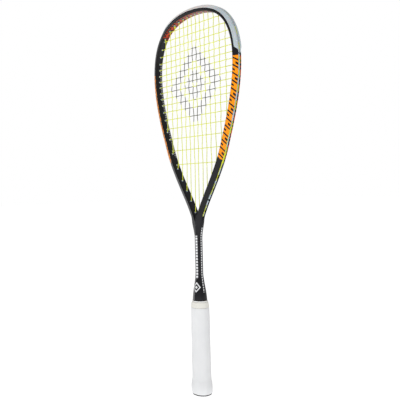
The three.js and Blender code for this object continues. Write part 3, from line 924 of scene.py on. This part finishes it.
def shaft_dashes(shader, x, y, z):
    """Rows of short white dashes on the shaft's front and right side, and a diamond on its cone."""
    from_front, on_front = facing(shader, x, y, 10)
    from_right, on_right = facing(shader, x, y, 86)
    dash = shader.between(shader.saw(z, 5.2), 0.8, 4.4, 0.3)
    small_dash = shader.between(shader.saw(z, 4.4), 0.8, 3.6, 0.3)
    front = shader.product(on_front, shader.below(from_front, 1.7, 0.3), shader.between(z, 207, 283.5, 0.4))
    right = shader.product(on_right, shader.below(from_right, 1.0, 0.3), shader.between(z, 183, 297.5, 0.4))
    front = shader.product(dash, front)
    right = shader.product(small_dash, right)
    height = shader.math("ABSOLUTE", shader.math("SUBTRACT", z, 192.0))
    radius = shader.math("ADD", shader.math("DIVIDE", from_front, 7.5), shader.math("DIVIDE", height, 9.0))
    rings = shader.math("MAXIMUM", shader.between(radius, 0.68, 1.0, 0.08), shader.below(radius, 0.3, 0.08))
    diamond = shader.product(rings, on_front)
    return shader.math("MAXIMUM", shader.math("MAXIMUM", front, right), diamond)


def lacquer():
    shader = Shader("frame_lacquer", Specular_IOR_Level=0.16, Coat_Weight=0.12, Coat_Roughness=0.05)
    along, arc, mouth = (shader.attribute(name) for name in ("along", "arc", "mouth"))
    place, x, y, z = shader.coordinates()
    drift = shader.noise(place, 30)
    grain = shader.noise(place, 0.9, 3.0)
    colour = shader.mix(drift, rgb(14, 14, 18), rgb(24, 24, 29))
    colour = shader.mix(shader.range(grain, 0, 0.25), colour, rgb(44, 43, 46))
    scuffs = shader.noise(place, 2.5, 4.0)
    orange = shader.mix(scuffs, rgb(255, 142, 0), rgb(255, 160, 8))
    orange = shader.mix(shader.above(y, 0.0, 1.0), orange, rgb(232, 92, 48))
    red = shader.mix(shader.noise(place, 6), rgb(166, 30, 0), rgb(204, 74, 2))
    colour = shader.mix(facet_bars(shader, along, arc), colour, orange)
    colour = shader.mix(crown_panel(shader, along, arc, mouth, y), colour, red)
    inner_face = shader.below(arc, FACET_START - 0.9, 0.3)
    ticks = shader.product(limb_ticks(shader, along, y), inner_face, 0.7)
    colour = shader.mix(ticks, colour, rgb(176, 176, 182))
    colour = shader.mix(shaft_dashes(shader, x, y, z), colour, rgb(236, 237, 239))
    shader.set("Base Color", colour)
    shader.set("Roughness", shader.range(scuffs, 0.22, 0.38))
    shader.bump(grain, 0.02, 0.4)
    return shader.material


def bumper_nylon():
    shader = Shader("bumper_nylon", Subsurface_Weight=0.12, Subsurface_Scale=0.002)
    place, x, y, z = shader.coordinates()
    drift = shader.noise(place, 24)
    scratches = shader.noise(place, 1.2, 5.0)
    colour = shader.mix(drift, rgb(172, 184, 190), rgb(194, 202, 208))
    warm = shader.product(shader.above(z, LENGTH - 14, 16), 0.7)
    colour = shader.mix(warm, colour, rgb(226, 214, 210))
    shader.set("Base Color", colour)
    shader.set("Roughness", shader.range(scratches, 0.3, 0.5))
    shader.bump(scratches, 0.03, 0.5)
    return shader.material


def grommet_nylon():
    shader = Shader("grommet_nylon", Subsurface_Weight=0.1, Subsurface_Scale=0.0015)
    place, x, y, z = shader.coordinates()
    fleck = shader.noise(place, 1.0, 3.0)
    shader.set("Base Color", shader.mix(shader.noise(place, 14), rgb(176, 194, 206), rgb(206, 220, 228)))
    shader.set("Roughness", shader.range(fleck, 0.35, 0.5))
    shader.bump(fleck, 0.02, 0.5)
    return shader.material


STENCIL_Z = 552.0
STENCIL_HALF_WIDTH = 66.0
STENCIL_HALF_HEIGHT = 71.0


def stencil(shader, x, z):
    """Ink on the string bed: a lozenge ring around a small lozenge, with worn edges."""
    height = shader.math("ABSOLUTE", shader.math("SUBTRACT", z, STENCIL_Z))
    sideways = shader.math("ABSOLUTE", x)
    across = shader.math("DIVIDE", sideways, STENCIL_HALF_WIDTH)
    radius = shader.math("ADD", across, shader.math("DIVIDE", height, STENCIL_HALF_HEIGHT))
    ring = shader.between(radius, 0.66, 1.0, 0.03)
    return shader.math("MAXIMUM", ring, shader.between(radius, 0.12, 0.42, 0.03))


def lime_string():
    shader = Shader("lime_string", Coat_Weight=0.2, Coat_Roughness=0.15)
    along = shader.attribute("along")
    place, x, y, z = shader.coordinates()
    colour = shader.mix(shader.noise(place, 9), rgb(220, 226, 6), rgb(230, 236, 40))
    worn = shader.range(shader.noise(place, 1.6), 0.88, 1.0)
    colour = shader.mix(shader.product(stencil(shader, x, z), worn), colour, rgb(16, 16, 19))
    shader.set("Base Color", colour)
    shader.set("Roughness", shader.range(shader.noise(place, 0.7), 0.3, 0.45))
    twist = shader.math("SINE", shader.math("MULTIPLY", along, 2 * math.pi / 0.7))
    shader.bump(shader.range(twist, 0.5, 1.0), 0.03, 0.5)
    return shader.material


def grip_film():
    shader = Shader("grip_film", Sheen_Weight=0.08, Sheen_Roughness=0.5)
    place, x, y, z = shader.coordinates()
    smudge = shader.noise(place, 26)
    grain = shader.noise(place, 0.55, 4.0)
    shader.set("Base Color", shader.mix(smudge, rgb(224, 225, 227), rgb(236, 237, 238)))
    shader.set("Roughness", shader.range(grain, 0.42, 0.6))
    shader.bump(grain, 0.05, 0.6)
    return shader.material


def collar_rubber():
    shader = Shader("collar_rubber")
    place, x, y, z = shader.coordinates()
    grain = shader.noise(place, 0.5, 3.0)
    shader.set("Base Color", shader.mix(shader.noise(place, 7), rgb(233, 231, 223), rgb(238, 236, 229)))
    shader.set("Roughness", shader.range(grain, 0.6, 0.8))
    shader.bump(grain, 0.04, 0.6)
    return shader.material


def white_tape():
    shader = Shader("white_tape")
    place, x, y, z = shader.coordinates()
    grain = shader.noise(place, 0.8, 2.0)
    shader.set("Base Color", shader.mix(grain, rgb(246, 246, 246), rgb(252, 252, 251)))
    shader.set("Roughness", shader.range(grain, 0.35, 0.5))
    shader.bump(grain, 0.03, 0.5)
    return shader.material


def cap_plastic():
    shader = Shader("cap_plastic")
    place, x, y, z = shader.coordinates()
    grain = shader.noise(place, 0.4, 3.0)
    shader.set("Base Color", shader.mix(shader.noise(place, 12), rgb(34, 34, 37), rgb(48, 48, 52)))
    shader.set("Roughness", shader.range(grain, 0.45, 0.62))
    shader.bump(grain, 0.04, 0.6)
    return shader.material


def pallet_foam():
    shader = Shader("pallet_foam")
    place, x, y, z = shader.coordinates()
    cells = shader.noise(place, 0.7, 4.0)
    shader.set("Base Color", shader.mix(cells, rgb(160, 138, 100), rgb(190, 168, 128)))
    shader.set("Roughness", shader.range(cells, 0.8, 0.95))
    shader.bump(cells, 0.2, 0.8)
    return shader.material


# ---------------------------------------------------------------- camera, light and floor

VIEW_AZIMUTH = math.radians(46)
VIEW_ELEVATION = math.radians(1.177)
VIEW_ROLL = math.radians(-1.361)
VIEW_DISTANCE = 0.96161
LENS = 48.57
AIM_ACROSS, AIM_UP = 0.0041292, 0.0043594
WORLD_LIGHT = 0.42  # how strongly the white world lights the racket
FLOOR_REACH = 14.0


def view_axes(azimuth, elevation):
    """Right, up and back of a camera that looks at the racket from this direction."""
    right = Vector((math.cos(azimuth), math.sin(azimuth), 0))
    ahead = math.cos(elevation)
    back = Vector((math.sin(azimuth) * ahead, -math.cos(azimuth) * ahead, math.sin(elevation)))
    return right, back.cross(right), back


def posed(right, up, back, position):
    matrix = Matrix((right, up, back)).transposed().to_4x4()
    matrix.translation = position
    return matrix


def add_camera():
    right, up, back = view_axes(VIEW_AZIMUTH, VIEW_ELEVATION)
    cosine, sine = math.cos(VIEW_ROLL), math.sin(VIEW_ROLL)
    right, up = right * cosine + up * sine, up * cosine - right * sine
    middle = Vector((0, 0, (cad_box[0].z + cad_box[1].z) / 2 - 0.00062))
    aim = middle + right * AIM_ACROSS + up * AIM_UP
    camera = bpy.data.objects.new("camera", bpy.data.cameras.new("camera"))
    camera.data.lens = LENS
    camera.data.sensor_width = 36
    camera.data.clip_start = 0.05
    bpy.context.scene.collection.objects.link(camera)
    camera.matrix_world = posed(right, up, back, aim + back * VIEW_DISTANCE)
    bpy.context.scene.camera = camera


def add_softbox(name, turn, lift, distance, size, power):
    """A light aimed at the racket's middle, turn degrees round from the camera and lift degrees up."""
    right, up, back = view_axes(VIEW_AZIMUTH + math.radians(turn), math.radians(lift))
    light = bpy.data.lights.new(name, "AREA")
    light.shape = "RECTANGLE"
    light.size, light.size_y = size
    light.energy = power
    lamp = bpy.data.objects.new(name, light)
    bpy.context.scene.collection.objects.link(lamp)
    middle = Vector((0, 0, cad_box[1].z / 2))
    lamp.matrix_world = posed(right, up, back, middle + back * distance)
    return lamp


def add_studio():
    world = bpy.data.worlds.new("studio")
    bpy.context.scene.world = world
    world.use_nodes = True
    tree = world.node_tree
    background = tree.nodes["Background"]
    background.inputs["Color"].default_value = (1, 1, 1, 1)
    seen = tree.nodes.new("ShaderNodeLightPath").outputs["Is Camera Ray"]
    strength = tree.nodes.new("ShaderNodeMapRange")
    strength.inputs["To Min"].default_value = WORLD_LIGHT
    strength.inputs["To Max"].default_value = 1.0
    tree.links.new(seen, strength.inputs["Value"])
    tree.links.new(strength.outputs["Result"], background.inputs["Strength"])
    add_softbox("key", -18, 28, 2.2, (1.4, 1.4), 15).visible_glossy = False
    add_softbox("rim", -72, 0, 1.6, (0.25, 1.8), 18).visible_diffuse = False
    bpy.context.scene.view_settings.view_transform = "Standard"


def add_floor():
    mesh = bpy.data.meshes.new("floor")
    corners = [(x * FLOOR_REACH, y * FLOOR_REACH, 0) for x, y in ((-1, -1), (1, -1), (1, 1), (-1, 1))]
    mesh.from_pydata(corners, [], [(0, 1, 2, 3)])
    floor = bpy.data.objects.new("floor", mesh)
    bpy.context.scene.collection.objects.link(floor)
    shader = Shader("floor_white", Roughness=0.9, Specular_IOR_Level=0.1, Emission_Strength=0.65)
    place, x, y, z = shader.coordinates()
    shader.set("Base Color", shader.mix(shader.noise(place, 400), rgb(246, 246, 246), rgb(250, 250, 250)))
    shader.set("Emission Color", (1, 1, 1, 1))
    mesh.materials.append(shader.material)


add_camera()
add_studio()
add_floor()
add_frame()
add_grommets()
add_strings()
add_handle()
